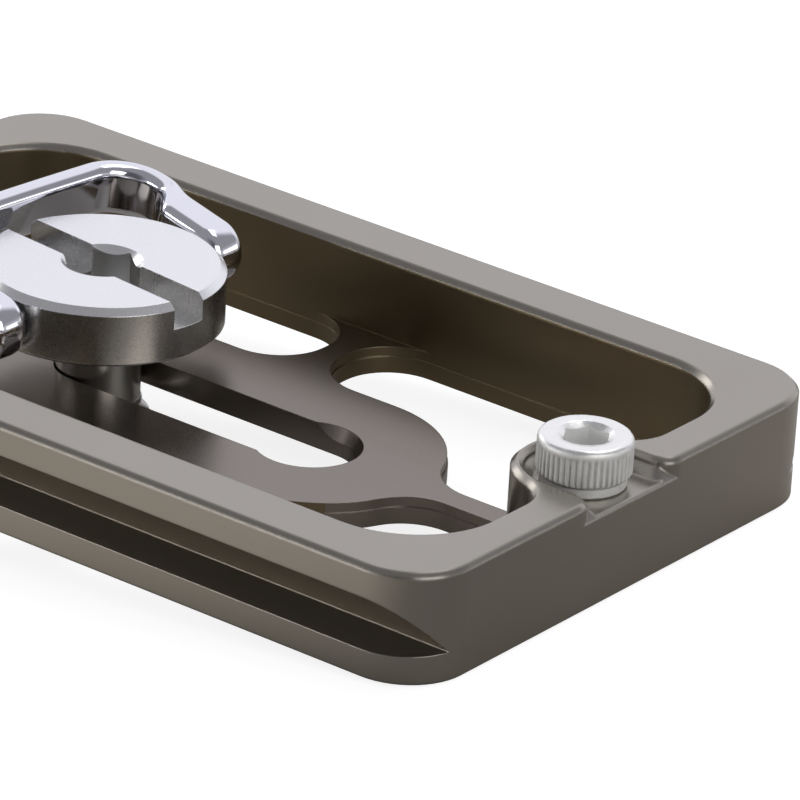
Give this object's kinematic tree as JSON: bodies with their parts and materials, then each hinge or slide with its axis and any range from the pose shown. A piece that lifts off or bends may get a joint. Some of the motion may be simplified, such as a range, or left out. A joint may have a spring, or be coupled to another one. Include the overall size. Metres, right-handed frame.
{
  "type": "tripod quick release plate",
  "caption": "Skeleton quick release plate with a dovetail for a tripod head clamp, a captive camera screw with a folding D-ring in a slot, and stop screws at its ends.",
  "frame": {"origin": "the middle of the camera face, which lies at z = 0; the part is stored clamp side up, as it is pictured", "axes": "+X along the dovetail, from the camera screw's rest place towards its entry hole; +Z out of the clamp side, away from the camera; +Y completes the right-handed frame"},
  "size_m": [0.06, 0.038, 0.0126],
  "materials": {
    "plate_anodised": "hard anodised in titanium grey-brown, fine blasted satin",
    "screw_steel": "turned stainless steel, satin",
    "ring_chrome": "polished, mirror bright",
    "stop_screw_nickel": "bright nickel plated",
    "strip_rubber": "matt black, fine ribs"
  },
  "bodies": {
    "plate": {"plate_body": "plate_anodised", "stop_screw_left": "stop_screw_nickel", "stop_screw_right": "stop_screw_nickel", "rubber_strip_front": "strip_rubber", "rubber_strip_back": "strip_rubber"},
    "screw": {"camera_screw": "screw_steel"},
    "ring": {"d_ring": "ring_chrome"}
  },
  "joints": [
    {"name": "screw_slide", "type": "slide", "parent": "plate", "child": "screw", "axis": [1, 0, 0], "range_m": [0, 0.0159]},
    {"name": "ring_hinge", "type": "hinge", "parent": "screw", "child": "ring", "pos_m": [-0.00875, 0, 0.00655], "axis": [0.1045, 0.9945, 0], "range_deg": [-28, 188]}
  ]
}
